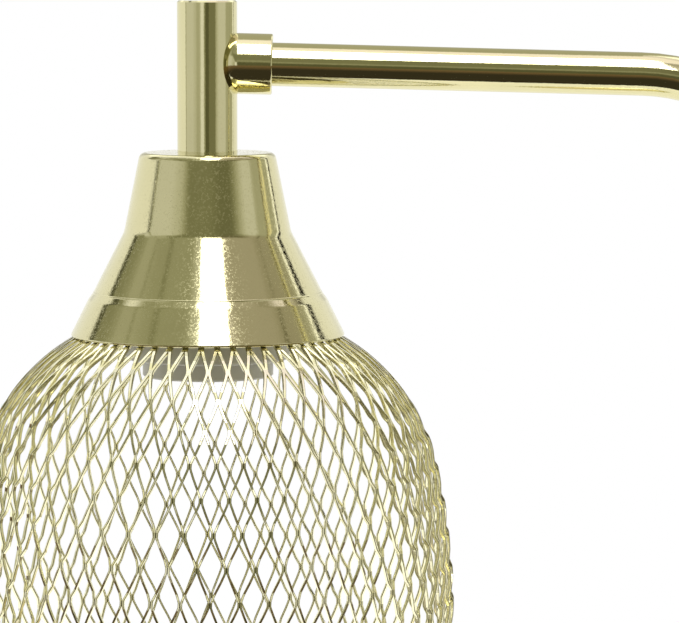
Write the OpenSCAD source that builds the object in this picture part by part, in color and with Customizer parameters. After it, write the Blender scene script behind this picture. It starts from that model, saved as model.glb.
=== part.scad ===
// Wire mesh table lamp: a weighted round base, a bent arm and a swivelling head
// with a spun cap, an expanded-metal shade and a screw lampholder.
// Origin: centre of the base's underside. +Z is up and the head hangs on the -X side.

/* [Base] */
// Diameter of the base cover
base_d = 178; // [165:1:230]
// Height of the cover's top above the table
base_h = 24; // [23:0.5:32]
// Radius of the cover's rounded top edge
base_edge_r = 7; // [3:0.5:8]
// Thickness of the cover's sheet metal
cover_wall = 1.5; // [1:0.1:2]
// Height of the cover's lower edge above the table
cover_lift = 1; // [0.5:0.1:1.5]
// Thickness of the soft pad under the base
pad_t = 2; // [1.8:0.1:3]
// Thickness of the cast weight
weight_t = 17; // [16:0.5:18]
// Gap between the weight and the cover all round
weight_gap = 1; // [0.5:0.1:3]
// Diameter of the weight's raised centre
boss_d = 40; // [34:1:50]
// Diameter of the round recess under the weight for the clamp nut
recess_d = 28; // [24:1:34]
// Depth of that recess
recess_depth = 12; // [11.5:0.1:13]

/* [Post and arm] */
// Diameter of the bent tube
arm_d = 13; // [12.5:0.1:13.4]
// Wall of the bent tube
arm_wall = 1.25; // [1:0.05:1.4]
// Distance from the post's axis to the head's axis
head_reach = 190; // [150:1:240]
// Height of the arm's axis where it meets the head
head_h = 461; // [380:1:560]
// Slope of the arm, climbing towards the head, in degrees
arm_rise = 1.5; // [0:0.1:5]
// Radius of the bend at the top of the post
bend_r = 62; // [40:1:90]
// Diameter of the trim ring at the foot of the post
flange_d = 28; // [24:1:40]
// Height of that trim ring
flange_h = 5; // [3:0.5:8]
// Length of the threaded bush in each end of the bent tube
bush_l = 14; // [13:0.5:20]

/* [Threaded tubes and wiring] */
// Outer diameter of the threaded tubes
nipple_d = 8; // [7.5:0.1:8.2]
// Bore of the threaded tubes
nipple_bore = 5.6; // [5.4:0.1:6]
// Thickness of the clamp nuts
nut_t = 4; // [3:0.5:4]
// Width of the clamp nuts across their flats
nut_w = 13; // [12:0.5:15]
// Thickness of the washers
washer_t = 1.2; // [0.8:0.1:1.5]
// Diameter of an insulated core
core_d = 2.2; // [1.6:0.1:2.3]
// Distance between the two cores of a pair
core_pitch = 2.6; // [2.5:0.1:2.8]
// Radius of the tightest bends of a core
core_bend = 4; // [3.5:0.1:4.2]

/* [Head tube and swivel] */
// Diameter of the head tube
tube_d = 18; // [17.5:0.1:19]
// Wall of the head tube
tube_wall = 1.5; // [1:0.1:1.5]
// Height of the head tube above the arm's axis
tube_above = 18.6; // [14:0.2:30]
// Length of the head tube below the arm's axis
tube_below = 26.8; // [26:0.2:40]
// Thickness of the plug in the top of the head tube
plug_t = 4; // [2:0.5:6]
// Length of the threaded bush in the foot of the head tube
foot_l = 10; // [8:0.5:10]
// Diameter of the collar that the arm turns in
collar_d = 18.2; // [17:0.1:20]
// Distance from the head tube's axis to the collar's outer end
collar_reach = 19.5; // [18.5:0.5:26]
// Radius of the collar's rounded shoulder against the head tube
collar_round = 4.6; // [3:0.1:5]
// How far the collar's shoulder is let into the head tube
collar_sink = 4.2; // [3:0.1:4.5]
// Running clearance of the swivel, on the radius
run_gap = 0.05; // [0.03:0.01:0.08]
// How far the head swivels each way, in degrees
swivel_limit = 40; // [20:1:50]
// Diameter of the stop screw
stop_d = 3; // [2.5:0.1:3.2]
// Diameter of the saddle washer inside the head tube
saddle_d = 12; // [11:0.2:12.4]

/* [Cap] */
// Diameter of the cap's flat top
cap_top_d = 41.2; // [36:0.2:44]
// Diameter at the shoulder crease
cap_shoulder_d = 50; // [47:0.2:54]
// Depth of the shoulder crease below the top
cap_shoulder_z = 23.6; // [16:0.2:26]
// Diameter at the lower crease
cap_ridge_d = 68.6; // [66:0.2:74]
// Depth of the lower crease below the top
cap_ridge_z = 41.8; // [36:0.2:46]
// Diameter of the rim
cap_rim_d = 82.6; // [78:0.1:86]
// Height of the cap
cap_h = 54.9; // [52:0.1:60]
// Wall of the cap, measured level
cap_wall = 0.9; // [0.7:0.05:1.2]
// Radius of the cap's top edge
cap_edge_r = 2; // [1:0.25:4]
// Radius of the hollow in the shoulder crease
cap_hollow_r = 6.5; // [2:0.5:8]
// Height of the narrow, flatter band under the lower crease
crease_drop = 2.1; // [1:0.1:3]
// How much flatter that band leans than the cap above it, in degrees
crease_lean = 8.5; // [2:0.5:12]
// Radius that rounds the band's lower edge
crease_r = 4; // [1:0.5:6]
// Width of the fine bead at that crease
bead_w = 0.6; // [0.5:0.1:1.2]
// Height of the bead
bead_h = 0.07; // [0.05:0.01:0.12]
// Radius of the rim's outer edge
rim_edge_r = 0.5; // [0.2:0.05:0.5]

/* [Lampholder] */
// Diameter of the lampholder's smooth lower skirt
skirt_d = 39.2; // [38.4:0.2:42]
// How far the skirt reaches below the cap's rim
skirt_drop = 12.2; // [10:0.2:16]
// Visible height of the skirt below the collar
skirt_h = 5.2; // [3:0.2:8]
// Diameter of the lampholder's collar
holder_d = 49.2; // [46:0.2:52]
// Height of the lampholder's collar
holder_collar_h = 7; // [4:0.5:10]
// Gap between the lampholder's neck and the nut above it
neck_gap = 2.1; // [1:0.1:3]
// Height of the lampholder's dome and neck
dome_h = 21; // [20:0.5:24]
// Outer diameter of the neck on the dome
neck_d = 17; // [14:0.5:19]
// Radius of the dome's curve
dome_r = 10; // [8:0.5:10]
// Depth of the thread in the neck
neck_thread = 10; // [8:0.5:10.5]
// Wall of the moulded lampholder parts
moulded_wall = 2.2; // [1.8:0.1:2.4]
// Height of the insulating core
holder_core_h = 10; // [9:0.5:11]
// Depth of the core's recess for the centre contact
contact_room = 4.5; // [4.2:0.1:5]
// How far the centre contact springs down
contact_drop = 4; // [3:0.1:4]
// Inner diameter of the screw shell
shell_bore = 26.6; // [26.4:0.1:27]
// Depth of the screw shell's edge inside the mouth
shell_low = 5; // [4:0.5:8]
// Wall of the screw shell
shell_wall = 0.4; // [0.3:0.05:0.6]

/* [Shade] */
// Turn of the shade about its axis at the rim, in degrees
mesh_turn = 2.3; // [0:0.1:6.6]
// How far the shade twists back from the rim to its lower edge, in degrees
mesh_twist = 5.4; // [0:0.1:8]
// Number of diamonds around the shade
diamonds = 54; // [36:1:60]
// Number of diamond rows from the rim down
mesh_rows = 12; // [6:1:13]
// Length of one strand between two bonds
strand_l = 10.8; // [8:0.1:16]
// Length of a strand in the first two rows
first_strand_l = 11.3; // [8:0.1:16]
// Half width of a strand at a bond
strand_w = 0.9; // [0.7:0.1:1.6]
// Depth of a strand
strand_t = 1.2; // [0.8:0.1:1.8]
// Half height of a bond
bond_h = 1.9; // [1.4:0.1:3]
// Gap between the shade and the inside of the cap's rim
mesh_gap = 0.5; // [0.3:0.1:1]
// Angle from the vertical at which the shade leaves the rim
flare = 60.8; // [50:0.2:66]
// Angle from the vertical where the upper curve meets the lower one
waist = 12; // [8:0.5:20]
// Radius of the upper curve
upper_r = 60.4; // [50:0.2:70]
// Radius of the lower curve
lower_r = 214; // [150:2:300]
// Length of the stubs that hold the shade behind the rim
stub_l = 5; // [3:0.5:7]
// Thickness of the wire of the ring behind the rim
ring_wire = 2.6; // [2:0.1:3]
// Thickness of the wire of the lower ring
rim_wire = 3; // [2:0.1:4]

/* [Switch] */
// Distance from the base's front edge to the switch
switch_edge = 34; // [24:1:36]
// Diameter of the push button
button_d = 9; // [8:0.1:9.4]
// Travel of the push button
button_travel = 2.5; // [1.5:0.1:2.8]
// Height of the button above its nut
button_proud = 3.5; // [3.2:0.1:5]
// Width of the switch housing
switch_w = 15; // [14:0.5:16]
// Height of the switch housing under the cover
switch_h = 11; // [10:0.5:12]
// Thickness of the housing's base plate
plate_t = 1.2; // [0.8:0.1:1.5]
// Outer diameter of the switch's nut
switch_nut_d = 18; // [16:0.5:24]
// Height of the switch's nut
switch_nut_h = 2.5; // [2:0.1:4]

/* [Cord inlet and connector] */
// Bore of the inlet bushing
inlet_bore = 7.6; // [6:0.1:8]
// Diameter of the bushing where it passes the cover
inlet_hole = 9.6; // [9.2:0.1:10]
// Diameter of the bushing's flange
inlet_flange_d = 12; // [11.5:0.1:13]
// Height of the inlet's axis above the table
inlet_h = 9.5; // [9:0.5:11]
// Length of the bushing inside the cover
inlet_l = 8; // [5:0.5:12]
// Distance from the post's axis to the connector
block_x = 26; // [25:1:30]
// Length of the connector
block_l = 20; // [16:1:20]
// Width of the connector
block_w = 16; // [14:0.5:18]
// Height of the connector
block_h = 9; // [8:0.5:10]

/* [Hidden] */
$fn = 96;

brass = "#cfc68c";
zinc = "#b9bab4";
iron = "#4b4b4d";
plastic = "#d9d8d2";
black = "#2b2b2b";
copper = "#b8793f";

// Clearance between pieces that are fitted into each other and don't move
fit = 0.1;
// Clearance of loose pieces
loose = 0.3;
// Length by which a cutting shape passes the face that it cuts
past = 1;
// Radius of small broken edges
soft_edge = 0.5;
// How far each stretch of a bent bar runs into the one before it, and their difference in diameter
weld = 0.05;
hair = 0.02;

arm_bore = arm_d - 2 * arm_wall;
switch_y = base_d / 2 - switch_edge;
tube_bore = tube_d - 2 * tube_wall;
nipple_hole = nipple_d + 2 * fit;
cover_inner_z = base_h - cover_wall;

// Points of an arc with centre c, radius r, from angle a0 to a1
function arc(c, r, a0, a1, n = 8) =
    [for (i = [0:n]) let (a = a0 + (a1 - a0) * i / n) c + r * [cos(a), sin(a)]];

// Points of the arc of radius r that rounds the corner b between a and c
function fillet(a, b, c, r, n = 8) = let (u = (a - b) / norm(a - b), v = (c - b) / norm(c - b),
    half = acos(u * v) / 2, centre = b + (u + v) / norm(u + v) * r / sin(half),
    p = b + u * r / tan(half) - centre, q = b + v * r / tan(half) - centre,
    a0 = atan2(p[1], p[0]), turn = atan2(p[0] * q[1] - p[1] * q[0], p * q))
    arc(centre, r, a0, a0 + turn, n);

// Half section of a disc from z0 to z1 whose edges are rounded below and above
module disc_section(r, z0, z1, low, high) {
    translate([0, z0 + low]) square([r, z1 - high - z0 - low]);
    for (e = [[low, z0 + low, -1], [high, z1 - high, 1]]) if (e[0] > 0)
        translate([0, e[1]]) {
            translate([0, e[2] < 0 ? -e[0] : 0]) square([r - e[0], e[0]]);
            intersection() {
                translate([r - e[0], 0]) circle(r = e[0], $fn = 64);
                translate([0, e[2] < 0 ? -e[0] : 0]) square([r, e[0]]);
            }
        }
}

// A tube standing on z0
module pipe(d, bore, h, z0 = 0) {
    translate([0, 0, z0]) difference() {
        cylinder(d = d, h = h);
        translate([0, 0, -past]) cylinder(d = bore, h = h + 2 * past);
    }
}

// A hexagon nut standing on z0
module hex_nut(z0) {
    translate([0, 0, z0]) difference() {
        cylinder(d = nut_w / cos(30), h = nut_t, $fn = 6);
        translate([0, 0, -past]) cylinder(d = nipple_hole, h = nut_t + 2 * past);
    }
}

// A block centred on x and y that stands on z0
module block(w, l, h, z0) {
    translate([-w / 2, -l / 2, z0]) cube([w, l, h]);
}

// A round bar or tube along steps of [length] or [bend radius, angle, roll].
// It starts upwards, and a bend leans towards -X, or towards -X turned by its roll.
// Each step runs a little into the one before it, and every second one is a hair thinner.
module run(steps, d, bore = 0, i = 0) {
    if (i < len(steps)) {
        step = steps[i];
        back = i == 0 ? 0 : weld;
        thin = i % 2 == 0 ? 0 : hair;
        if (len(step) == 1) {
            if (bore > 0) pipe(d - thin, bore + thin, step[0] + back, -back);
            else translate([0, 0, -back]) cylinder(d = d - thin, h = step[0] + back);
            translate([0, 0, step[0]]) run(steps, d, bore, i + 1);
        } else rotate([0, 0, step[2]]) translate([-step[0], 0, 0]) {
            back_angle = back / step[0] * 180 / PI;
            rotate([90, back_angle, 0])
                rotate_extrude(angle = step[1] + back_angle) translate([step[0], 0]) difference() {
                    circle(d = d - thin);
                    if (bore > 0) circle(d = bore + thin);
                }
            rotate([0, -step[1], 0]) translate([step[0], 0, 0])
                rotate([0, 0, -step[2]]) run(steps, d, bore, i + 1);
        }
    }
}

// Two bends that move a core sideways by shift, and the length that they take
function side_angle(shift, r) = acos(1 - shift / (2 * r));
function side_step(shift, r, roll) = let (a = side_angle(shift, r)) [[r, a, roll], [r, a, roll + 180]];
function side_length(shift, r) = 2 * r * sin(side_angle(shift, r));

// Base

weight_r = base_d / 2 - cover_wall - weight_gap;

// Half section of the cover's outside, moved in by w, down to z0
module cover_section(w, z0) {
    disc_section(base_d / 2 - w, z0, base_h - w, 0, max(base_edge_r - w, soft_edge));
}

switch_neck_wall = 1.6;
switch_neck_d = button_d + 2 * switch_neck_wall;

module base_cover() {
    color(brass) difference() {
        rotate_extrude($fn = 180) cover_section(0, cover_lift);
        rotate_extrude($fn = 180) cover_section(cover_wall, cover_lift - past);
        translate([0, 0, base_h / 2]) cylinder(d = nipple_hole, h = base_h);
        translate([0, -switch_y, base_h / 2]) cylinder(d = switch_neck_d + 2 * fit, h = base_h);
        translate([base_d / 3, 0, inlet_h]) rotate([0, 90, 0])
            cylinder(d = inlet_hole + 2 * fit, h = base_d);
    }
}

// The lamp's cores leave the connector here, under the nipple's lower end
nut_top = pad_t + recess_depth - washer_t;
nipple_low = nut_top - nut_t - soft_edge;
wire_z = nipple_low - core_bend;
block_end = block_x + block_l;
channel_w = 7;
wire_y = block_w / 4;
wire_spread = wire_y - core_pitch / 2;
spread_r = 6;
channel_top = wire_z + core_d / 2 + past;
spread_room = side_length(wire_spread, spread_r) + core_d;
spread_w = 2 * wire_y + core_d + 2 * past;
// The switch's cores turn towards the switch here
turn_x = block_end + core_bend + past;

module base_weight() {
    color(iron) difference() {
        union() {
            intersection() {
                rotate_extrude($fn = 180) cover_section(cover_wall + weight_gap, pad_t);
                translate([0, 0, pad_t]) cylinder(r = base_d, h = weight_t);
            }
            translate([0, 0, pad_t]) cylinder(d = boss_d, h = cover_inner_z - pad_t);
        }
        cylinder(d = nipple_hole, h = base_h);
        cylinder(d = recess_d, h = pad_t + recess_depth);
        // Pockets for the connector and the switch
        translate([block_x + block_l / 2, 0, 0])
            block(block_l + 2 * past, block_w + 2 * past, pad_t + block_h + past, 0);
        translate([0, -switch_y, 0])
            block(switch_w + 2 * past, switch_w + 2 * past, base_h, 0);
        // Channels for the lamp's cores, wider where they spread, and for the cord
        translate([0, -channel_w / 2, 0]) cube([block_x, channel_w, channel_top]);
        translate([block_x - spread_room, -spread_w / 2, 0])
            cube([spread_room, spread_w, channel_top]);
        translate([block_end, -inlet_hole / 2 - past, 0])
            cube([base_d, inlet_hole + 2 * past, inlet_h + inlet_hole / 2 + past]);
        // Channel for the switch's cores
        translate([turn_x + core_pitch / 2 - channel_w / 2, -switch_y - channel_w / 2, 0])
            cube([channel_w, switch_y, channel_top]);
        translate([0, -switch_y - channel_w / 2, 0])
            cube([turn_x + core_pitch / 2, channel_w, channel_top]);
        // Room for the bushing's inner end
        translate([base_d / 2 - cover_wall - inlet_l - past, -inlet_flange_d / 2 - past, 0])
            cube([base_d, inlet_flange_d + 2 * past, base_h]);
    }
}

module base_pad() {
    color(black) cylinder(r = weight_r, h = pad_t, $fn = 180);
}

module post_flange() {
    color(brass) translate([0, 0, base_h]) rotate_extrude() difference() {
        disc_section(flange_d / 2, 0, flange_h, 0, flange_h / 2);
        translate([0, -past]) square([arm_d / 2 + fit, flange_h + 2 * past]);
    }
}

module post_bush() {
    color(zinc) pipe(arm_bore - 2 * fit, nipple_hole, bush_l, base_h);
}

module base_nipple() {
    color(zinc) pipe(nipple_d, nipple_bore, base_h + bush_l - past - nipple_low, nipple_low);
}

module base_washer() {
    color(zinc) pipe(recess_d - 2 * past, nipple_hole, washer_t, nut_top);
}

module base_nut() {
    color(zinc) hex_nut(nut_top - nut_t);
}

inlet_flange_t = 2;
inlet_barb_d = inlet_hole + 1.4;

module inlet_bushing() {
    inner = cover_wall + loose;
    color(black) translate([base_d / 2, 0, inlet_h]) rotate([0, 90, 0]) difference() {
        union() {
            translate([0, 0, -inlet_l - cover_wall])
                cylinder(d = inlet_hole, h = inlet_l + cover_wall + inlet_flange_t);
            cylinder(d = inlet_flange_d, h = inlet_flange_t);
            translate([0, 0, -inner - inlet_flange_t])
                cylinder(d = inlet_barb_d, h = inlet_flange_t);
        }
        cylinder(d = inlet_bore, h = 4 * inlet_l, center = true);
    }
}

block_hole = 3;
screw_d = 2.6;
block_screws = [block_x + block_l / 4, block_x + block_l * 3 / 4];

module terminal_block() {
    color(plastic) difference() {
        translate([block_x + block_l / 2, 0, 0]) block(block_l, block_w, block_h, pad_t);
        for (side = [-1, 1]) {
            translate([0, side * wire_y, wire_z]) rotate([0, 90, 0])
                cylinder(d = block_hole, h = base_d);
            for (x = block_screws) translate([x, side * wire_y, wire_z])
                cylinder(d = screw_d + 2 * fit, h = base_h);
        }
    }
}

module terminal_screws() {
    low = wire_z + block_hole / 2;
    color(zinc) for (side = [-1, 1]) for (x = block_screws)
        translate([x, side * wire_y, low]) cylinder(d = screw_d, h = pad_t + block_h - low);
}

// Switch

plate_z = cover_inner_z - switch_h;
cavity_top = cover_inner_z - 2;
button_flange_t = 1.5;
button_low = cavity_top - loose - button_flange_t;
button_top = base_h + switch_nut_h + button_proud;
blade_x = 3.5;
blade_t = 0.8;

module switch_body() {
    color(black) translate([0, -switch_y, 0]) difference() {
        union() {
            block(switch_w, switch_w, switch_h - plate_t, plate_z + plate_t);
            translate([0, 0, cover_inner_z - past])
                cylinder(d = switch_neck_d, h = past + cover_wall + switch_nut_h - loose);
        }
        cylinder(d = button_d + 2 * loose, h = 2 * base_h);
        translate([0, 0, plate_z]) cylinder(d = switch_neck_d, h = cavity_top - plate_z);
    }
}

module switch_plate() {
    color(plastic) translate([0, -switch_y, 0]) difference() {
        block(switch_w, switch_w, plate_t, plate_z);
        for (side = [-1, 1]) translate([blade_x - fit, side * core_pitch / 2, plate_z - past])
            translate([0, -core_pitch / 4 - fit, 0])
                cube([blade_t + 2 * fit, core_pitch / 2 + 2 * fit, plate_t + 2 * past]);
    }
}

module switch_terminals() {
    low = pad_t + past;
    color(copper) for (side = [-1, 1])
        translate([blade_x, side * core_pitch / 2 - core_pitch / 4 - switch_y, low])
            cube([blade_t, core_pitch / 2, plate_z + plate_t - low]);
}

module switch_spring() {
    low = plate_z + plate_t;
    color(zinc) translate([0, -switch_y, 0])
        pipe(button_d - past, button_d - 3 * past, button_low - fit - low, low);
}

module switch_nut() {
    color(brass) translate([0, -switch_y, base_h]) rotate_extrude()
        polygon([[switch_neck_d / 2 + fit, 0], [switch_nut_d / 2, 0],
            [switch_nut_d / 2, switch_nut_h - soft_edge],
            [switch_nut_d / 2 - soft_edge, switch_nut_h],
            [switch_neck_d / 2 + fit, switch_nut_h]]);
}

module switch_button() {
    color(brass) translate([0, -switch_y, 0]) rotate_extrude() {
        disc_section(button_d / 2, button_low, button_top, 0, past);
        translate([0, button_low]) square([switch_neck_d / 2 - loose, button_flange_t]);
    }
}

// Each core leaves its bore in the connector, turns to the front and then to the switch
module switch_wires() {
    start_x = block_end - loose - core_d;
    color(black) for (k = [0, 1]) {
        x = turn_x + k * core_pitch;
        side = k == 0 ? -1 : 1;
        y_end = -switch_y - side * core_pitch / 2;
        translate([start_x, side * wire_y, wire_z]) rotate([0, 90, 0])
            run([[x - start_x - core_bend], [core_bend, 90, 90],
                [side * wire_y - y_end - 2 * core_bend], [core_bend, 90, 90],
                [x - core_bend - blade_x - blade_t]], core_d);
    }
}

// Post and arm

arm_to_head = (head_reach - bend_r * (1 - sin(arm_rise))) / cos(arm_rise);
post_top = head_h - bend_r * cos(arm_rise) - arm_to_head * sin(arm_rise);
collar_floor = tube_d / 2 + 1.2;
arm_end = collar_floor + fit;

// Places its children on the arm's axis at the head, with +Z away from the head
module at_arm() {
    translate([-head_reach, 0, head_h]) rotate([0, arm_rise, 0]) rotate([0, 90, 0]) children();
}

// The slot in which the stop screw travels, at the back of the arm
stop_at = (arm_end + collar_reach) / 2;
stop_tip = arm_d / 2 - arm_wall - loose;
slot_w = stop_d + 2 * loose;
slot_r = stop_tip - loose;
slot_span = swivel_limit + asin(stop_d / 2 / slot_r) + 3;

module stop_slot() {
    at_arm() rotate([0, 0, 90 - slot_span]) rotate_extrude(angle = 2 * slot_span)
        translate([slot_r, stop_at - slot_w / 2]) square([arm_d, slot_w]);
}

module arm_tube() {
    color(brass) difference() {
        translate([0, 0, base_h])
            run([[post_top - base_h], [bend_r, 90 - arm_rise, 0], [arm_to_head - arm_end]],
                arm_d, arm_bore);
        stop_slot();
    }
}

module arm_bush() {
    color(zinc) difference() {
        at_arm() pipe(arm_bore - 2 * fit, nipple_hole, bush_l, arm_end);
        stop_slot();
    }
}

// The saddle washer's thinnest place, and the nut behind it
saddle_face = sqrt(pow(tube_bore / 2, 2) - pow(saddle_d / 2, 2)) - past;
swivel_nut_low = saddle_face - run_gap - nut_t;
stud_low = swivel_nut_low - soft_edge;

module swivel_stud() {
    color(zinc) at_arm()
        pipe(nipple_d, nipple_bore, arm_end + bush_l - past - stud_low, stud_low);
}

module swivel_nut() {
    color(zinc) at_arm() pipe(saddle_d, nipple_hole, nut_t, swivel_nut_low);
}

// Both cores run from the connector through the nipple, the post and the arm
wire_in = 3;

module arm_wires() {
    level = block_x + wire_in - past - side_length(wire_spread, spread_r) - core_bend;
    color(black) for (side = [-1, 1])
        translate([block_x + wire_in, side * wire_y, wire_z]) rotate([0, -90, 0])
            run(concat([[past]],
                side_step(wire_spread, spread_r, side * 90),
                [[level], [core_bend, 90, 180], [post_top - wire_z - core_bend],
                [bend_r, 90 - arm_rise, 0], [arm_to_head - stud_low]]), core_d);
}

// Head tube and collar

cap_top = head_h - tube_below;
tube_top = head_h + tube_above;

module at_head() {
    translate([-head_reach, 0, 0]) children();
}

module head_tube() {
    color(brass) difference() {
        at_head() translate([0, 0, cap_top]) rotate_extrude() polygon([
            [tube_bore / 2, 0], [tube_d / 2, 0], [tube_d / 2, tube_top - cap_top - soft_edge],
            [tube_d / 2 - soft_edge, tube_top - cap_top], [tube_bore / 2, tube_top - cap_top]]);
        at_arm() cylinder(d = nipple_hole, h = tube_d);
    }
}

module side_collar() {
    back = tube_d / 2 - collar_sink;
    color(brass) difference() {
        at_arm() rotate_extrude()
            disc_section(collar_d / 2, back, collar_reach, collar_round, soft_edge);
        at_head() cylinder(d = tube_d, h = 2 * tube_top);
        at_arm() translate([0, 0, collar_floor])
            cylinder(d = arm_d + 2 * run_gap, h = collar_reach);
        at_arm() cylinder(d = nipple_hole, h = collar_reach);
        at_arm() translate([0, 0, stop_at]) rotate([-90, 0, 0])
            cylinder(d = stop_d, h = collar_d);
    }
}

module tube_plug() {
    color(brass) at_head() translate([0, 0, tube_top - plug_t])
        cylinder(d = tube_bore - 2 * fit, h = plug_t);
}

module swivel_washer() {
    color(zinc) intersection() {
        at_arm() pipe(saddle_d, nipple_hole, tube_bore, saddle_face);
        at_head() cylinder(d = tube_bore, h = 2 * tube_top);
    }
}

module stop_screw() {
    color(zinc) at_arm() translate([0, 0, stop_at]) rotate([-90, 0, 0]) difference() {
        translate([0, 0, stop_tip]) cylinder(d = stop_d - 2 * fit, h = collar_d / 2 - fit - stop_tip);
        translate([0, 0, collar_d / 2 - stop_d / 2]) cylinder(d = stop_d / 2, h = past * 2, $fn = 6);
    }
}

module tube_foot() {
    color(zinc) at_head() pipe(tube_bore - 2 * fit, nipple_hole, foot_l, cap_top);
}

// Cap

rim_z = cap_top - cap_h;

// Angle from the vertical of the line from a down to b
function slope(a, b) = atan((b[0] - a[0]) / (a[1] - b[1]));
cap_rim = [cap_rim_d / 2, 0];
cap_ridge = [cap_ridge_d / 2, cap_h - cap_ridge_z];
cap_shoulder = [cap_shoulder_d / 2, cap_h - cap_shoulder_z];
// Lower edge of the flatter band under the lower crease
cap_band = cap_ridge + crease_drop * [tan(slope(cap_shoulder, cap_ridge) + crease_lean), -1];
cap_slope = slope(cap_band, cap_rim);
// Points of a bead over the corner b between a and c
function bead(a, b, c) = let (along = (c - a) / norm(c - a), out = [along[1], -along[0]],
    r = (pow(bead_w / 2, 2) + pow(bead_h, 2)) / (2 * bead_h), half = asin(bead_w / 2 / r))
    [for (k = [-6:6]) b + along * r * sin(half * k / 6)
        + out * (bead_h - r * (1 - cos(half * k / 6)))];

module shade_cap() {
    edge = [cap_top_d / 2 - cap_edge_r, cap_h - cap_edge_r];
    wall = [cap_wall, 0];
    under = [cap_top_d / 2 - cap_wall - cap_edge_r / 4, cap_h - cap_wall];
    hole = nipple_hole / 2;
    // The top edge's arc meets the upper cone at this angle
    away = cap_shoulder - edge;
    touch = atan2(away[1], away[0]) + acos(cap_edge_r / norm(away));
    meet = edge + cap_edge_r * [cos(touch), sin(touch)];
    color(brass) at_head() translate([0, 0, rim_z]) rotate_extrude($fn = 180) difference() {
        union() {
            polygon(concat([[0, 0]], fillet(cap_rim - wall, cap_rim, cap_band, rim_edge_r, 6),
                fillet(cap_rim, cap_band, cap_ridge, crease_r, 6),
                bead(cap_band, cap_ridge, cap_shoulder),
                fillet(cap_ridge, cap_shoulder, meet, cap_hollow_r),
                [meet, edge, [edge[0], cap_h], [0, cap_h]]));
            translate(edge) circle(r = cap_edge_r, $fn = 64);
        }
        polygon([[0, -past], [cap_rim[0] - cap_wall, -past], cap_rim - wall, cap_band - wall,
            cap_ridge - wall, cap_shoulder - wall, under,
            [hole, cap_h - cap_wall], [hole, cap_h + past], [0, cap_h + past]]);
    }
}

cap_nut_top = cap_top - cap_wall - washer_t;

module cap_washer() {
    color(zinc) at_head() pipe(nut_w + 8, nipple_hole, washer_t, cap_nut_top);
}

module cap_nut() {
    color(zinc) at_head() hex_nut(cap_nut_top - nut_t);
}

// Lampholder, measured upwards from its mouth

holder_z = rim_z - skirt_drop;
holder_h = cap_nut_top - nut_t - neck_gap - holder_z;
holder_bore = skirt_d - 2 * moulded_wall;
dome_z = holder_h - dome_h;
shell_top = dome_z + past - holder_core_h;
skirt_bore = shell_bore + 2 * shell_wall + 2 * loose;

module at_holder() {
    translate([-head_reach, 0, holder_z]) children();
}

module head_nipple() {
    low = holder_z + holder_h - neck_thread;
    color(zinc) at_head() pipe(nipple_d, nipple_bore, cap_top + foot_l - soft_edge - low, low);
}

module holder_cap() {
    outer = skirt_d / 2;
    arc_z = dome_z + dome_h - neck_thread - dome_r + past;
    arc_x = outer - dome_r;
    inner_r = dome_r - moulded_wall;
    color(plastic) at_holder() rotate_extrude() polygon(concat(
        [[holder_bore / 2 - past, dome_z + past], [holder_bore / 2, dome_z + past],
        [holder_bore / 2, dome_z], [outer, dome_z]],
        arc([arc_x, arc_z], dome_r, 0, 90),
        [[neck_d / 2, arc_z + dome_r], [neck_d / 2, holder_h - soft_edge],
        [neck_d / 2 - soft_edge, holder_h], [nipple_hole / 2, holder_h],
        [nipple_hole / 2, arc_z + inner_r]],
        arc([arc_x - past, arc_z], inner_r, 90, 0)));
}

module holder_body() {
    color(plastic) at_holder() rotate_extrude() difference() {
        union() {
            disc_section(holder_d / 2, skirt_h, skirt_h + holder_collar_h, past, past);
            translate([0, skirt_h + past]) square([skirt_d / 2, dome_z - skirt_h - past]);
        }
        square([holder_bore / 2, dome_z + past]);
    }
}

module holder_skirt() {
    mouth = skirt_d / 2 - moulded_wall;
    inside = holder_bore / 2 - fit;
    color(plastic) at_holder() rotate_extrude() polygon([
        [mouth, 0], [skirt_d / 2 - soft_edge, 0], [skirt_d / 2, soft_edge],
        [skirt_d / 2, skirt_h], [inside, skirt_h], [inside, shell_top],
        [skirt_bore / 2, shell_top], [skirt_bore / 2, shell_low], [mouth, past]]);
}

core_wire_y = 6;

module holder_core() {
    color("#e9e7df") at_holder() difference() {
        translate([0, 0, shell_top])
            cylinder(d = holder_bore - 2 * fit, h = holder_core_h);
        translate([0, 0, shell_top - past])
            cylinder(d = shell_bore - 2 * past, h = contact_room + past);
        for (side = [-1, 1])
            translate([0, side * core_wire_y, shell_top + holder_core_h - wire_in - loose])
                cylinder(d = block_hole, h = holder_core_h);
    }
}

module screw_shell() {
    color(copper) at_holder() pipe(shell_bore + 2 * shell_wall, shell_bore, shell_top - shell_low, shell_low);
}

module centre_contact() {
    w = 4;
    t = 0.6;
    low = -contact_drop;
    color(copper) at_holder() translate([0, w / 2, shell_top + contact_room])
        rotate([90, 0, 0]) linear_extrude(w) polygon([[7, 0], [3, 0], [-2, low + t],
            [-3, low + t], [-3, low], [-1.7, low], [3.3, -t], [7, -t]]);
}

// The head's cores start behind the swivel nut, turn down inside the tube and end in the core
module head_wires() {
    start = stud_low - 2 * loose;
    offset_x = core_bend * (1 + sin(arm_rise)) - start * cos(arm_rise);
    back_r = 6;
    spread = core_wire_y - core_pitch / 2;
    turned_z = head_h - start * sin(arm_rise) - core_bend * cos(arm_rise);
    inside_z = holder_z + holder_h - neck_thread;
    core_top = holder_z + shell_top + holder_core_h;
    down = turned_z - side_length(offset_x, back_r) - inside_z;
    tail = inside_z - side_length(spread, core_bend) - core_top + wire_in;
    color(black) for (side = [-1, 1])
        at_arm() translate([0, side * core_pitch / 2, start]) rotate([0, 180, 0])
            run(concat([[core_bend, 90 + arm_rise, 0]], side_step(offset_x, back_r, 0), [[down]],
                side_step(spread, core_bend, -side * 90), [[tail]]), core_d);
}

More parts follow.
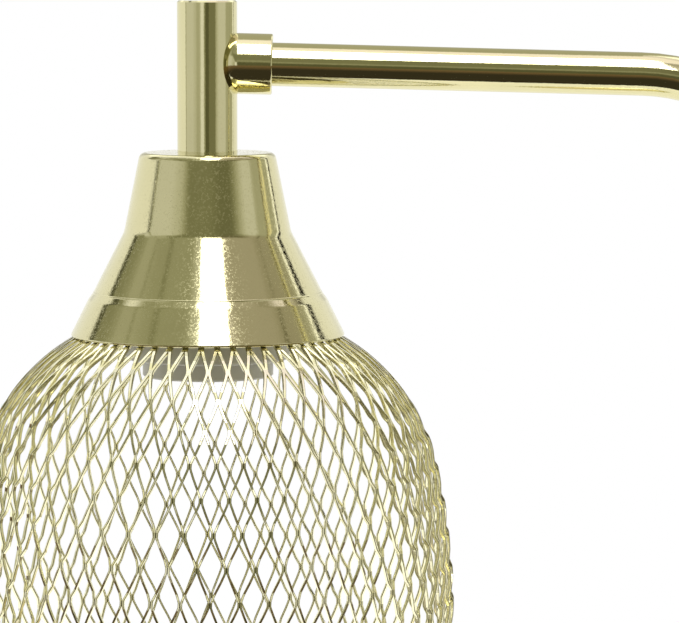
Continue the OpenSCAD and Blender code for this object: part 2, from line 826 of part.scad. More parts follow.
// Shade, measured along its outside from the rim down. The outside is a straight cone
// behind the rim, then the upper curve, then the lower curve.

mesh_r = cap_rim_d / 2 - cap_wall - mesh_gap;
upper_end = (flare - waist) * PI / 180 * upper_r;
waist_r = mesh_r + upper_r * (cos(waist) - cos(flare));
waist_z = -upper_r * (sin(flare) - sin(waist));

// Angle from the vertical, radius and height at the length s below the rim
function lean(s) = s < 0 ? cap_slope
    : s <= upper_end ? flare - s / upper_r * 180 / PI
    : waist - (s - upper_end) / lower_r * 180 / PI;
function mesh_x(s) = s < 0 ? mesh_r + s * sin(cap_slope)
    : s <= upper_end ? mesh_r + upper_r * (cos(lean(s)) - cos(flare))
    : waist_r + lower_r * (cos(lean(s)) - cos(waist));
function mesh_z(s) = s < 0 ? -s * cos(cap_slope)
    : s <= upper_end ? -upper_r * (sin(flare) - sin(lean(s)))
    : waist_z - lower_r * (sin(waist) - sin(lean(s)));
// The point on the section at s, moved out by n
function mesh_point(s, n) = [mesh_x(s) + n * cos(lean(s)), mesh_z(s) + n * sin(lean(s))];

// Each row of bonds lies where the strands from the row above end
function row_step(s, l) = sqrt(pow(l, 2) - pow(PI * mesh_x(s + l / 2) / diamonds, 2));
function row_list(j, s) = j > mesh_rows ? []
    : concat([s], row_list(j + 1, s + row_step(s, j < 2 ? first_strand_l : strand_l)));
row_s = row_list(0, 0);
mesh_end = row_s[mesh_rows];

// A corner: half pitches around, then its offsets around, down and in from there
function corner(half, s, around, down, inward) =
    let (p = mesh_point(s + down, -inward), a = half * 180 / diamonds + mesh_turn
        - mesh_twist * s / mesh_end + around / mesh_x(s) * 180 / PI)
    [p[0] * cos(a), p[0] * sin(a), p[1]];
// Left, top, right, bottom and inner corner of a bond
function bond(j, i) = let (h = 2 * i + j % 2, s = row_s[j]) [
    corner(h, s, -strand_w, 0, 0), corner(h, s, 0, -bond_h, 0), corner(h, s, strand_w, 0, 0),
    corner(h, s, 0, bond_h, 0), corner(h, s, 0, 0, strand_t)];
// Left, right and inner corner of the end of a stub
function stub(i) = [corner(2 * i, -stub_l, -strand_w, 0, 0),
    corner(2 * i, -stub_l, strand_w, 0, 0), corner(2 * i, -stub_l, 0, 0, strand_t)];
mesh_points = concat(
    [for (j = [0:mesh_rows]) for (i = [0:diamonds - 1]) each bond(j, i)],
    [for (i = [0:diamonds - 1]) each stub(i)]);

// Numbers of a bond's corners and of a stub's corners in that list
function at_bond(j, i) = let (k = 5 * (j * diamonds + (i + diamonds) % diamonds))
    [k, k + 1, k + 2, k + 3, k + 4];
function at_stub(i) = let (k = 5 * (mesh_rows + 1) * diamonds + 3 * i) [k, k + 1, k + 2];
// Faces of a strand, or a stub, between two three-cornered ends
function prism(a, b) = [[a[0], a[1], b[1]], [a[0], b[1], b[0]], [a[1], a[2], b[2]],
    [a[1], b[2], b[1]], [a[2], a[0], b[0]], [a[2], b[0], b[2]]];
function strands(j, i) = let (m = at_bond(j, i), l = at_bond(j + 1, j % 2 == 0 ? i - 1 : i),
    r = at_bond(j + 1, j % 2 == 0 ? i : i + 1)) concat(
    prism([m[0], m[3], m[4]], [l[1], l[2], l[4]]), prism([m[3], m[2], m[4]], [r[0], r[1], r[4]]));
function inner_bond(j, i) = let (m = at_bond(j, i)) [[m[0], m[1], m[2]], [m[0], m[2], m[3]]];
function top_bond(i) = let (m = at_bond(0, i), t = at_stub(i)) concat(
    prism([t[0], t[1], t[2]], [m[0], m[2], m[4]]), [[m[0], m[2], m[3]], [t[1], t[0], t[2]]]);
function last_bond(i) = let (m = at_bond(mesh_rows, i)) [[m[0], m[1], m[2]], [m[0], m[2], m[4]]];
mesh_faces = concat(
    [for (j = [0:mesh_rows - 1]) for (i = [0:diamonds - 1]) each strands(j, i)],
    [for (j = [1:mesh_rows - 1]) for (i = [0:diamonds - 1]) each inner_bond(j, i)],
    [for (i = [0:diamonds - 1]) each concat(top_bond(i), last_bond(i))]);

module at_rim() {
    translate([-head_reach, 0, rim_z]) children();
}

module shade_mesh() {
    color(brass) at_rim() polyhedron(points = mesh_points, faces = mesh_faces);
}

module wire_ring(centre, d) {
    color(brass) at_rim() rotate_extrude($fn = 120) translate(centre) circle(d = d, $fn = 32);
}

module mesh_ring() {
    wire_ring(mesh_point(-stub_l / 2, -strand_t - ring_wire / 2 - fit), ring_wire);
}

module shade_rim() {
    wire_ring(mesh_point(mesh_end + fit + rim_wire / 2, -strand_t / 2), rim_wire);
}

base_cover();
base_weight();
base_pad();
post_flange();
post_bush();
base_nipple();
base_washer();
base_nut();
inlet_bushing();
terminal_block();
terminal_screws();
switch_body();
switch_plate();
switch_terminals();
switch_spring();
switch_nut();
switch_wires();
switch_button();
arm_tube();
arm_bush();
swivel_stud();
swivel_nut();
arm_wires();
head_tube();
side_collar();
tube_plug();
swivel_washer();
stop_screw();
tube_foot();
head_nipple();
shade_cap();
cap_washer();
cap_nut();
holder_cap();
holder_body();
holder_skirt();
holder_core();
screw_shell();
centre_contact();
head_wires();
shade_mesh();
mesh_ring();
shade_rim();
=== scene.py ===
"""Wire mesh table lamp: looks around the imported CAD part, in metres."""

import math
from collections import namedtuple

import bmesh
import bpy
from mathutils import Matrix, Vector


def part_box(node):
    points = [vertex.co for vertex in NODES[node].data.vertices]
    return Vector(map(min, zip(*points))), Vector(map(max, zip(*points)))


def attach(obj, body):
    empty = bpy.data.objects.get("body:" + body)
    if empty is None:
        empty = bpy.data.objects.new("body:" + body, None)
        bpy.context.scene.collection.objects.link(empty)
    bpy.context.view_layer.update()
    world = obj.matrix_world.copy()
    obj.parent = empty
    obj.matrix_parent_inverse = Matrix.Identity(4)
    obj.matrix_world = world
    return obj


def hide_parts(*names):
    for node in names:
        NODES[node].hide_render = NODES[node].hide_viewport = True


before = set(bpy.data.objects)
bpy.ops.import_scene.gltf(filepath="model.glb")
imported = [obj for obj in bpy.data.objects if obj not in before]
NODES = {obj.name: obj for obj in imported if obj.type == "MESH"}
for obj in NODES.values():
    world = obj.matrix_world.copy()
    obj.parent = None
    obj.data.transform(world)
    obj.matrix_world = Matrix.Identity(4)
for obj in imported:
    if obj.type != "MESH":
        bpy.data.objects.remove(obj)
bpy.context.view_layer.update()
MM = 0.001
scene = bpy.context.scene
scene.view_settings.view_transform = "Standard"

HEAD_REACH = 190 * MM
RIM_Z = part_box("shade_cap")[0].z
RIM_CENTRE = Vector((-HEAD_REACH, 0, RIM_Z))


# Camera, at the photograph's viewing angle

CAMERA_AT = (-0.1505, -1.300, 0.5024)
CAMERA_AIM = (-0.1505, 0, 0.3864)
SENSOR_MM, LENS_MM = 36, 230.6
VIEW_END = 20


def look(obj, target):
    obj.rotation_euler = (Vector(target) - obj.location).to_track_quat("-Z", "Y").to_euler()


def make_camera():
    camera = bpy.data.objects.new("camera", bpy.data.cameras.new("camera"))
    scene.collection.objects.link(camera)
    camera.data.sensor_width = SENSOR_MM
    camera.data.lens = LENS_MM
    camera.data.clip_end = VIEW_END
    camera.location = CAMERA_AT
    look(camera, CAMERA_AIM)
    scene.camera = camera


make_camera()


# Node helpers


class Tree:
    """A short way to write a node tree."""

    def __init__(self, tree):
        self.t = tree
        self.t.nodes.clear()

    def node(self, kind):
        return self.t.nodes.new(kind)

    def new(self, kind, out=0, **values):
        """An output of a new node, whose inputs are set by name, or by number as _0, _1 and so on."""
        node = self.node(kind)
        for name, value in values.items():
            key = int(name[1:]) if name.startswith("_") else name
            self.put(node.inputs[key], value)
        return node.outputs[out]

    def put(self, socket, value):
        if isinstance(value, bpy.types.NodeSocket):
            self.t.links.new(value, socket)
        else:
            socket.default_value = value

    def math(self, op, *values, clamp=False):
        node = self.node("ShaderNodeMath")
        node.operation = op
        node.use_clamp = clamp
        for socket, value in zip(node.inputs, values):
            self.put(socket, value)
        return node.outputs[0]

    def step(self, value, low, high, a=0.0, b=1.0):
        """a below low, b above high, smooth between."""
        node = self.node("ShaderNodeMapRange")
        node.interpolation_type = "SMOOTHSTEP"
        for socket, v in zip(node.inputs, (value, low, high, a, b)):
            self.put(socket, v)
        return node.outputs[0]

    def mix(self, factor, a, b):
        """Colour a where the factor is 0, colour b where it is 1."""
        node = self.node("ShaderNodeMix")
        node.data_type = "RGBA"
        # The node's sockets for colours come after those for numbers and vectors
        self.put(node.inputs[0], factor)
        self.put(node.inputs[6], a)
        self.put(node.inputs[7], b)
        return node.outputs[2]


def rgba(colour, share=1.0):
    return (*[c * share for c in colour], 1)


def grey(v):
    return rgba((v, v, v))


# Studio: white behind the lamp, a grey room in front, one tall soft box above the camera

SWEEP_WHITE, SWEEP_SHADED, SWEEP_LIT = (1, 1, 0.98, 1), (0.3, 0.3, 0.28, 1), (1.7, 1.7, 1.65, 1)
SWEEP_SHADOW, BLACK_EDGE, DULL_STRIP = (0.03, 0.03, 0.015, 1), (0.01, 0.008, 0.004, 1), (0.5, 0.49, 0.38, 1)
LEFT_STRIP, YELLOW_STRIP, RIGHT_STRIP = (1.35, 1.35, 1.3, 1), (1, 0.92, 0.6, 1), (1.4, 1.4, 1.4, 1)
DARK_WALL, LIT_WALL, LINE_SOFT = 0.29, 0.46, 0.8
# Door and corner lines: azimuth of the middle, half width, brightness
WALL_LINES = ((-87.5, 1.5, 0.40), (77.5, 1.2, 0.52), (97.5, 1.5, 0.44))
# Uprights near the floor: azimuth from and to, softness, brightness
UPRIGHTS = ((-40, -27, 2, 0.50), (-23, -11, 2, 0.90), (-5, 8, 1.5, 0.12), (11, 33, 1.5, 0.22))
WARMTH, BLUE_IN_DARK, BLUE_GAIN = 0.075, 0.45, 0.7
WOOD_LEVEL, WOOD_TINT, FLOOR_DARK = 0.16, (1.0, 0.62, 0.3), (0.045, 0.038, 0.024)
SWEEP_SHADE, RIGHT_SIDE = 0.45, 122.0


class Studio(Tree):
    """The room, painted by azimuth, from the front and positive to the right, and elevation, in degrees.

    A mask is 1 where something is painted, and its edges fade over soft on either side.
    """

    def __init__(self, tree):
        super().__init__(tree)
        xyz = self.node("ShaderNodeSeparateXYZ")
        self.put(xyz.inputs[0], self.new("ShaderNodeTexCoord"))
        self.x, self.y, self.z = xyz.outputs
        forward = self.math("MULTIPLY", self.y, -1.0)
        self.azimuth = self.math("DEGREES", self.math("ARCTAN2", self.x, forward))
        self.elevation = self.math("DEGREES", self.math("ARCSINE", self.z))
        self.turn = self.math("ABSOLUTE", self.azimuth)

    def above(self, value, edge, soft):
        return self.step(value, edge - soft, edge + soft)

    def below(self, value, edge, soft):
        return self.step(value, edge - soft, edge + soft, 1.0, 0.0)

    def between(self, value, low, high, soft):
        return self.math("MULTIPLY", self.above(value, low, soft), self.below(value, high, soft))

    def all_of(self, *masks):
        out = masks[0]
        for mask in masks[1:]:
            out = self.math("MULTIPLY", out, mask)
        return out

    def paint(self, level, mask, value):
        """The brightness value painted over level where the mask is 1."""
        return self.math("MULTIPLY_ADD", mask, self.math("SUBTRACT", value, level), level)

    def eye_level(self):
        """Brightness of the walls at eye level, with door and corner lines."""
        azimuth = self.azimuth
        level = self.paint(0.70, self.above(azimuth, 78, 3), 0.47)
        level = self.paint(level, self.between(azimuth, -50, -8, 8), 0.60)
        for middle, half_width, value in WALL_LINES:
            line = self.between(azimuth, middle - half_width, middle + half_width, LINE_SOFT)
            level = self.paint(level, line, value)
        dark_left = self.all_of(self.below(azimuth, -100.5, 2.5), self.above(self.elevation, 19, 2))
        return self.paint(level, dark_left, DARK_WALL)

    def upper_walls(self):
        """Brightness of the walls higher up, lit from the soft box, and of the ceiling."""
        azimuth, elevation, turn = self.azimuth, self.elevation, self.turn
        level = self.step(azimuth, 10, 40, 0.37, LIT_WALL)
        dark_left = self.below(azimuth, -105, 7)
        level = self.paint(level, dark_left, DARK_WALL)
        lit_left = self.all_of(self.between(azimuth, -97, -62, 2), self.between(elevation, 26, 38, 2))
        level = self.paint(level, lit_left, LIT_WALL)
        right_wall = self.between(azimuth, 76, 112, 3)
        level = self.paint(level, right_wall, 0.39)
        post = self.between(azimuth, -60, -54, 2)
        level = self.paint(level, post, 0.27)
        left_line = self.between(azimuth, -82.5, -79.5, LINE_SOFT)
        level = self.paint(level, left_line, 0.33)
        right_line = self.all_of(self.between(azimuth, 81.5, 84.5, LINE_SOFT), self.below(elevation, 37, 1))
        level = self.paint(level, right_line, 0.14)
        from_box = self.math("ABSOLUTE", self.math("SUBTRACT", azimuth, 6.5))
        glow = self.all_of(self.below(from_box, 22, 10), self.above(elevation, 39, 5))
        level = self.paint(level, glow, 0.75)
        wall_tops = self.above(elevation, 65, 10)
        level = self.paint(level, wall_tops, 0.60)
        side_lights = self.all_of(self.above(turn, 79, 7), self.below(turn, 164, 6),
                                  self.above(elevation, 61.5, 2.5))
        level = self.paint(level, side_lights, 1.1)
        high_back = self.all_of(self.above(turn, 95, 7), self.above(elevation, 41, 3))
        level = self.paint(level, high_back, 1.0)
        ceiling = self.above(elevation, 71, 3)
        return self.paint(level, ceiling, 1.3)

    def right_of(self, foot, lean_left):
        """Degrees to the right of a line that starts at the azimuth foot and leans left as it goes up."""
        from_foot = self.math("SUBTRACT", self.azimuth, foot)
        return self.math("MULTIPLY_ADD", self.elevation, lean_left, from_foot)

    def dark_middle(self, level):
        """The dark middle of the room, whose sides lean outwards, with two paler strips across it."""
        azimuth, elevation = self.azimuth, self.elevation
        left, right = self.right_of(-13.0, 1.15), self.right_of(36.0, -0.75)
        middle = self.all_of(self.above(left, 0, 9), self.below(right, 0, 15), self.below(elevation, 37, 3))
        level = self.paint(level, middle, self.step(azimuth, 0, 25, 0.235, 0.18))
        upper_strip = self.all_of(self.between(azimuth, -12, 20, 4), self.between(elevation, 9, 15, 2))
        level = self.paint(level, upper_strip, 0.34)
        lower_strip = self.all_of(self.between(azimuth, -2, 30, 3),
                                  self.between(elevation, 0.5, 2.5, LINE_SOFT))
        return self.paint(level, lower_strip, 0.40)

    def uprights(self, level):
        """Pale and dark uprights near the floor, which the head tube reflects as bands."""
        near_floor = self.between(self.elevation, -9, 7, 3)
        for low, high, soft, value in UPRIGHTS:
            upright = self.all_of(self.between(self.azimuth, low, high, soft), near_floor)
            level = self.paint(level, upright, value)
        return level

    def tinted(self, level):
        """The colour of a brightness: yellower where it is darker, warmer on the right."""
        warm = self.all_of(self.step(self.azimuth, 0, 30, 0.0, WARMTH), self.above(self.elevation, 28, 6))
        green = self.math("MULTIPLY", level, self.math("SUBTRACT", 1.0, warm))
        blue_share = self.math("MINIMUM", self.math("MULTIPLY_ADD", level, BLUE_GAIN, BLUE_IN_DARK), 1.0)
        return self.new("ShaderNodeCombineXYZ", X=level, Y=green, Z=self.math("MULTIPLY", level, blue_share))

    def floor_colour(self):
        """A brown floor that fades into the dark below the camera."""
        wood = self.step(self.elevation, -24, -4, 0.0, WOOD_LEVEL)
        red, green, blue = [self.math("MULTIPLY_ADD", wood, tint, dark)
                            for tint, dark in zip(WOOD_TINT, FLOOR_DARK)]
        return self.new("ShaderNodeCombineXYZ", X=red, Y=green, Z=blue)

    def bright_strips(self, room):
        """Three bright upright strips on the side walls."""
        azimuth, elevation = self.azimuth, self.elevation
        left = self.all_of(self.between(azimuth, -98, -93, LINE_SOFT), self.below(elevation, 11, 3))
        room = self.mix(left, room, LEFT_STRIP)
        yellow = self.all_of(self.between(azimuth, 99.5, 103.5, LINE_SOFT), self.between(elevation, 5, 32, 2))
        room = self.mix(yellow, room, YELLOW_STRIP)
        right = self.all_of(self.between(azimuth, 115.5, 120, LINE_SOFT), self.below(elevation, 33.5, 1.5))
        return self.mix(right, room, RIGHT_STRIP)

    def sweep(self, room):
        """The white sweep behind the lamp: upright between its side edges and its top, lying on the floor."""
        azimuth, elevation, turn = self.azimuth, self.elevation, self.turn
        left_side = self.step(elevation, 11, 19, 92.0, 125.0)
        past = self.math("SUBTRACT", turn, self.step(azimuth, -1, 1, left_side, RIGHT_SIDE))
        shadow = self.all_of(self.between(past, -7, -0.5, 1), self.step(azimuth, -1, 1, 0.7, 0.0),
                             self.above(elevation, 10, 2))
        room = self.mix(shadow, room, SWEEP_SHADOW)
        top = self.step(turn, 128, 140, 32.0, 60.0)
        over_top = self.math("SUBTRACT", elevation, top)
        upright = self.all_of(self.above(past, 0, 1.5), self.above(self.z, 0, 0.001),
                              self.below(over_top, 0, 2))
        corner = self.all_of(self.above(self.x, 0, 0.1), self.step(self.z, -0.2, -0.03, 0.0, 0.42))
        back = self.math("SUBTRACT", self.y, self.math("MULTIPLY", self.z, 0.4))
        past_front = self.math("SUBTRACT", back, corner)
        lying = self.all_of(self.above(past_front, 0, 0.02), self.below(self.z, 0, 0.001))
        shaded = self.all_of(self.above(turn, 157.5, 7.5), self.between(elevation, 6, 24, 3))
        white = self.mix(self.math("MULTIPLY", shaded, SWEEP_SHADE), SWEEP_WHITE, SWEEP_SHADED)
        lit = self.all_of(self.above(turn, 142.5, 7.5), self.above(elevation, 29, 3))
        white = self.mix(lit, white, SWEEP_LIT)
        return self.mix(self.math("ADD", upright, lying, clamp=True), room, white)

    def dull_strip(self, seen):
        """A duller strip right behind the lamp, from above the sweep's foot to the ceiling."""
        strip = self.all_of(self.above(self.turn, 164, 4), self.above(self.elevation, 15, 3),
                            self.below(self.elevation, 76, 4))
        return self.mix(strip, seen, DULL_STRIP)

    def black_edge(self, seen):
        """A black edge in front of the sweep on the right, broader higher up."""
        off_middle = self.math("ABSOLUTE", self.math("SUBTRACT", self.azimuth, 122.5))
        half_width = self.step(self.elevation, 6, 16, 1.0, 2.6)
        faded = self.math("ADD", half_width, 1.2)
        across = self.step(off_middle, half_width, faded, 1.0, 0.0)
        edge = self.all_of(across, self.between(self.elevation, -2, 36, 3))
        return self.mix(edge, seen, BLACK_EDGE)

    def everything(self):
        """All of it, each layer painted over the last."""
        level = self.paint(self.eye_level(), self.above(self.elevation, 26, 4), self.upper_walls())
        level = self.uprights(self.dark_middle(level))
        room = self.mix(self.below(self.elevation, -5, 1.5), self.tinted(level), self.floor_colour())
        return self.black_edge(self.dull_strip(self.sweep(self.bright_strips(room))))


def make_world():
    """The studio in reflections and as light, plain white where the camera sees it."""
    world = bpy.data.worlds.new("studio")
    scene.world = world
    world.use_nodes = True
    n = Studio(world.node_tree)
    rays = n.node("ShaderNodeLightPath").outputs
    to_camera = n.math("MAXIMUM", rays["Is Camera Ray"], rays["Is Transmission Ray"])
    colour = n.mix(to_camera, n.everything(), grey(1))
    out = n.node("ShaderNodeOutputWorld")
    n.put(out.inputs[0], n.new("ShaderNodeBackground", Color=colour, Strength=1.0))


make_world()


def area_light(name, location, target, size, power):
    light = bpy.data.lights.new(name, "AREA")
    light.shape = "RECTANGLE"
    light.size, light.size_y = size
    light.energy = power
    obj = bpy.data.objects.new(name, light)
    scene.collection.objects.link(obj)
    obj.location = location
    look(obj, target)


area_light("soft_box", location=(-0.055, -0.76, 1.75), target=(-0.11, 0, 0.42), size=(0.60, 1.15), power=9.5)


# The floor that the lamp stands on: a disc cut off in front, which glows a little where it is seen

FLOOR_R, FLOOR_SIDES, FLOOR_FRONT = 0.75, 96, -0.23
FLOOR_TONE, FLOOR_GLOW = 0.8, 0.45


def floor_material():
    material = bpy.data.materials.new("floor")
    material.use_nodes = True
    t = Tree(material.node_tree)
    diffuse = t.new("ShaderNodeBsdfDiffuse", Color=grey(FLOOR_TONE))
    glow = t.new("ShaderNodeEmission", Color=grey(1.0), Strength=FLOOR_GLOW)
    glowing = t.new("ShaderNodeAddShader", _0=diffuse, _1=glow)
    rays = t.node("ShaderNodeLightPath").outputs
    seen = t.math("MAXIMUM", rays["Is Glossy Ray"], rays["Is Transmission Ray"])
    seen = t.math("MAXIMUM", rays["Is Camera Ray"], seen)
    out = t.node("ShaderNodeOutputMaterial")
    t.put(out.inputs[0], t.new("ShaderNodeMixShader", _0=seen, _1=diffuse, _2=glowing))
    return material


def make_floor():
    mesh = bpy.data.meshes.new("floor")
    bm = bmesh.new()
    ring = []
    for i in range(FLOOR_SIDES):
        a = 2 * math.pi * i / FLOOR_SIDES
        ring.append(bm.verts.new((FLOOR_R * math.cos(a), max(FLOOR_FRONT, FLOOR_R * math.sin(a)), 0)))
    bm.faces.new(ring)
    bm.to_mesh(mesh)
    bm.free()
    floor = bpy.data.objects.new("floor", mesh)
    scene.collection.objects.link(floor)
    floor.data.materials.append(floor_material())


make_floor()


# Materials. The marks in them have scales per metre and bump distances in metres

PEEL, WAVES, CLOUDS, SPECKS, SPOTS = 1100.0, 70.0, 45.0, 900.0, 1500.0
SPIN_LINES = (60, 60, 9000)
PEEL_BUMP, WAVE_BUMP, LINE_BUMP, GRAIN_BUMP = 0.00003, 0.0004, 0.00002, 0.00004
WAVE_STRENGTH = 0.12
CLOUDED, SPECK_TONE, SPECK_SHARE, CLOUD_ROUGH = 0.96, 0.45, 0.22, 1.9
CLOUD_EDGES, ROUGH_EDGES, SPECK_EDGES, SPOT_EDGES = (0.35, 0.7), (0.3, 0.75), (0.05, 0.11), (0.50, 0.62)
PLASTIC_CLOUDS, PLASTIC_CLOUDED, PLASTIC_EDGES = 60.0, 0.93, (0.3, 0.7)
SMOOTHEST, ROUGHEST = 0.9, 1.15


def new_material(name):
    material = bpy.data.materials.new(name)
    material.use_nodes = True
    t = Tree(material.node_tree)
    out = t.node("ShaderNodeOutputMaterial")
    shader = t.node("ShaderNodeBsdfPrincipled")
    t.put(out.inputs[0], shader.outputs[0])
    position = t.new("ShaderNodeTexCoord", "Object")
    return material, t, shader.inputs, position


def noise(t, position, scale, detail, roughness=0.5):
    return t.new("ShaderNodeTexNoise", Vector=position, Scale=scale, Detail=detail, Roughness=roughness)


def bump(t, height, strength, distance, **under):
    return t.new("ShaderNodeBump", Height=height, Strength=strength, Distance=distance, **under)


def plated(name, colour, rough, grain, lines=0.0, dull=0.0):
    """Polished plating: orange peel, small specks and duller clouds; spin lines and dull spots if asked."""
    material, t, sockets, position = new_material(name)
    cloud = noise(t, position, CLOUDS, detail=4.0)
    speck = t.new("ShaderNodeTexVoronoi", Vector=position, Scale=SPECKS)
    tone = t.mix(t.step(cloud, *CLOUD_EDGES), rgba(colour, CLOUDED), rgba(colour))
    tone = t.mix(t.step(speck, *SPECK_EDGES, SPECK_SHARE, 0.0), tone, rgba(colour, SPECK_TONE))
    t.put(sockets["Base Color"], tone)
    sockets["Metallic"].default_value = 1.0
    roughness = t.step(cloud, *ROUGH_EDGES, rough, rough * CLOUD_ROUGH)
    if dull:
        spot = noise(t, position, SPOTS, detail=3.0, roughness=0.7)
        roughness = t.math("ADD", roughness, t.step(spot, *SPOT_EDGES, 0.0, dull))
    t.put(sockets["Roughness"], roughness)
    wave = noise(t, position, WAVES, detail=2.0)
    peel = noise(t, position, PEEL, detail=3.0, roughness=0.65)
    normal = bump(t, peel, grain, PEEL_BUMP, Normal=bump(t, wave, WAVE_STRENGTH, WAVE_BUMP))
    if lines:
        stretched = t.new("ShaderNodeMapping", Vector=position, Scale=SPIN_LINES)
        line = noise(t, stretched, 1.0, detail=3.0)
        normal = bump(t, line, lines, LINE_BUMP, Normal=normal)
    t.put(sockets["Normal"], normal)
    return material


def plastic(name, colour, rough, grain=0.12, scale=1400.0):
    """A plain coloured surface with a fine grain, slightly uneven in tone."""
    material, t, sockets, position = new_material(name)
    fine = noise(t, position, scale, detail=3.0)
    cloud = noise(t, position, PLASTIC_CLOUDS, detail=3.0)
    tone = t.mix(t.step(cloud, *PLASTIC_EDGES), rgba(colour, PLASTIC_CLOUDED), rgba(colour))
    t.put(sockets["Base Color"], tone)
    t.put(sockets["Roughness"], t.step(fine, *PLASTIC_EDGES, rough * SMOOTHEST, rough * ROUGHEST))
    t.put(sockets["Normal"], bump(t, fine, grain, GRAIN_BUMP))
    return material


GOLD = (0.735, 0.69, 0.41)
MATERIALS = {
    "polished": plated("polished_brass", GOLD, rough=0.04, grain=0.36, dull=0.04),
    "spun": plated("spun_brass", GOLD, rough=0.04, grain=0.46, lines=0.18, dull=0.22),
    # Painted highlight: the mesh, its ring and its rim are the cap's gold plating, given a paler, brighter
    # colour so that their reflections look brighter
    "mesh": plated("mesh_brass", (0.98, 0.94, 0.66), rough=0.11, grain=0.3),
    # Painted shade: a near-black copy of the brass for the strands' chamfers and ends, standing in for the
    # dark outlines where their edges are in shade
    "sheared": plated("sheared_brass", (0.20, 0.18, 0.07), rough=0.24, grain=0.3),
    # Satin: rougher, on the strands' inner faces and on their outer faces just above each bond; its pale
    # colour is a painted highlight like the mesh plating's
    "satin": plated("satin_brass_painted_bright", (0.98, 0.95, 0.66), rough=0.48, grain=0.3),
    "zinc": plated("zinc_plate", (0.62, 0.62, 0.60), rough=0.22, grain=0.4),
    "contact": plated("contact_brass", (0.72, 0.5, 0.26), rough=0.16, grain=0.3),
    "iron": plastic("cast_iron", (0.06, 0.06, 0.065), rough=0.6, grain=0.6, scale=500.0),
    "pad": plastic("foam_pad", (0.03, 0.03, 0.03), rough=0.9, grain=0.8, scale=1800.0),
    "black": plastic("black_plastic", (0.03, 0.03, 0.03), rough=0.42),
    "holder": plastic("holder_plastic", (0.66, 0.655, 0.63), rough=0.38),
    "white": plastic("white_plastic", (0.72, 0.72, 0.70), rough=0.4),
    "ceramic": plastic("ceramic", (0.78, 0.77, 0.72), rough=0.2, grain=0.05),
    "wire": plastic("wire_insulation", (0.03, 0.03, 0.03), rough=0.5),
}
# Which pieces have which finish; a piece that isn't listed is zinc plated
PIECES = {
    "polished": ("post_flange", "switch_nut", "switch_button", "arm_tube", "head_tube", "side_collar",
                 "tube_plug"),
    "spun": ("base_cover", "shade_cap"),
    "mesh": ("shade_mesh", "mesh_ring", "shade_rim"),
    "contact": ("switch_terminals", "screw_shell", "centre_contact"),
    "iron": ("base_weight",),
    "pad": ("base_pad",),
    "black": ("inlet_bushing", "switch_body"),
    "holder": ("holder_cap", "holder_body", "holder_skirt"),
    "white": ("terminal_block", "switch_plate"),
    "ceramic": ("holder_core",),
    "wire": ("switch_wires", "arm_wires", "head_wires"),
}
FINISH = {piece: finish for finish, pieces in PIECES.items() for piece in pieces}
for name, node in NODES.items():
    node.data.materials.clear()
    node.data.materials.append(MATERIALS[FINISH.get(name, "zinc")])


# The shade: strands that zigzag down between two columns of bonds, in the part's millimetres and degrees

CAP_SHOULDER_D, CAP_SHOULDER_Z = 50, 23.6
CAP_RIDGE_D, CAP_RIDGE_Z = 68.6, 41.8
CAP_RIM_D, CAP_H = 82.6, 54.9
CAP_WALL, MESH_GAP = 0.9, 0.5
CREASE_DROP, CREASE_LEAN = 2.1, 8.5
MESH_TURN, MESH_TWIST = 2.3, 5.4
DIAMONDS, MESH_ROWS = 54, 12
STRAND_L, FIRST_STRAND_L, FIRST_ROWS = 10.8, 11.3, 2
STUB_L = 5.0
FLARE, WAIST = 60.8, 12.0
UPPER_R, LOWER_R = 60.4, 214.0

MID_SLOPE = math.atan2((CAP_RIDGE_D - CAP_SHOULDER_D) / 2, CAP_RIDGE_Z - CAP_SHOULDER_Z)
BAND_R = CAP_RIDGE_D / 2 + CREASE_DROP * math.tan(MID_SLOPE + math.radians(CREASE_LEAN))
RIM_SLOPE = math.degrees(math.atan2(CAP_RIM_D / 2 - BAND_R, CAP_H - CAP_RIDGE_Z - CREASE_DROP))
MESH_R = CAP_RIM_D / 2 - CAP_WALL - MESH_GAP
UPPER_END = math.radians(FLARE - WAIST) * UPPER_R


def cosd(a):
    return math.cos(math.radians(a))


def sind(a):
    return math.sin(math.radians(a))


WAIST_R = MESH_R + UPPER_R * (cosd(WAIST) - cosd(FLARE))
WAIST_Z = -UPPER_R * (sind(FLARE) - sind(WAIST))


def lean(s):
    """How far from upright the shade leans at the length s below the rim."""
    if s < 0:
        return RIM_SLOPE
    if s <= UPPER_END:
        return FLARE - math.degrees(s / UPPER_R)
    return WAIST - math.degrees((s - UPPER_END) / LOWER_R)


def section(s):
    """Radius and height at the length s below the rim."""
    a = lean(s)
    if s < 0:
        return MESH_R + s * sind(RIM_SLOPE), -s * cosd(RIM_SLOPE)
    if s <= UPPER_END:
        return MESH_R + UPPER_R * (cosd(a) - cosd(FLARE)), -UPPER_R * (sind(FLARE) - sind(a))
    return WAIST_R + LOWER_R * (cosd(a) - cosd(WAIST)), WAIST_Z - LOWER_R * (sind(WAIST) - sind(a))


def bond_rows():
    """The length below the rim of each row of bonds."""
    s, out = 0.0, [0.0]
    for j in range(MESH_ROWS):
        strand = FIRST_STRAND_L if j < FIRST_ROWS else STRAND_L
        s += math.sqrt(strand ** 2 - (math.pi * section(s + strand / 2)[0] / DIAMONDS) ** 2)
        out.append(s)
    return out


ROW_S = bond_rows()


def turn_at(half, s, around):
    """Angle about the head's axis: half pitches around, the length below the rim, then mm around."""
    twist = MESH_TWIST * s / ROW_S[-1]
    return math.radians(half * 180 / DIAMONDS + MESH_TURN - twist) + around / section(s)[0]


def point(half, s, around, depth):
    """A point of the shade seen from the rim's centre, depth in mm inwards from its outer surface."""
    r, z = section(s)
    a = turn_at(half, s, around)
    r -= depth * cosd(lean(s))
    z -= depth * sind(lean(s))
    return Vector((r * math.cos(a), r * math.sin(a), z))


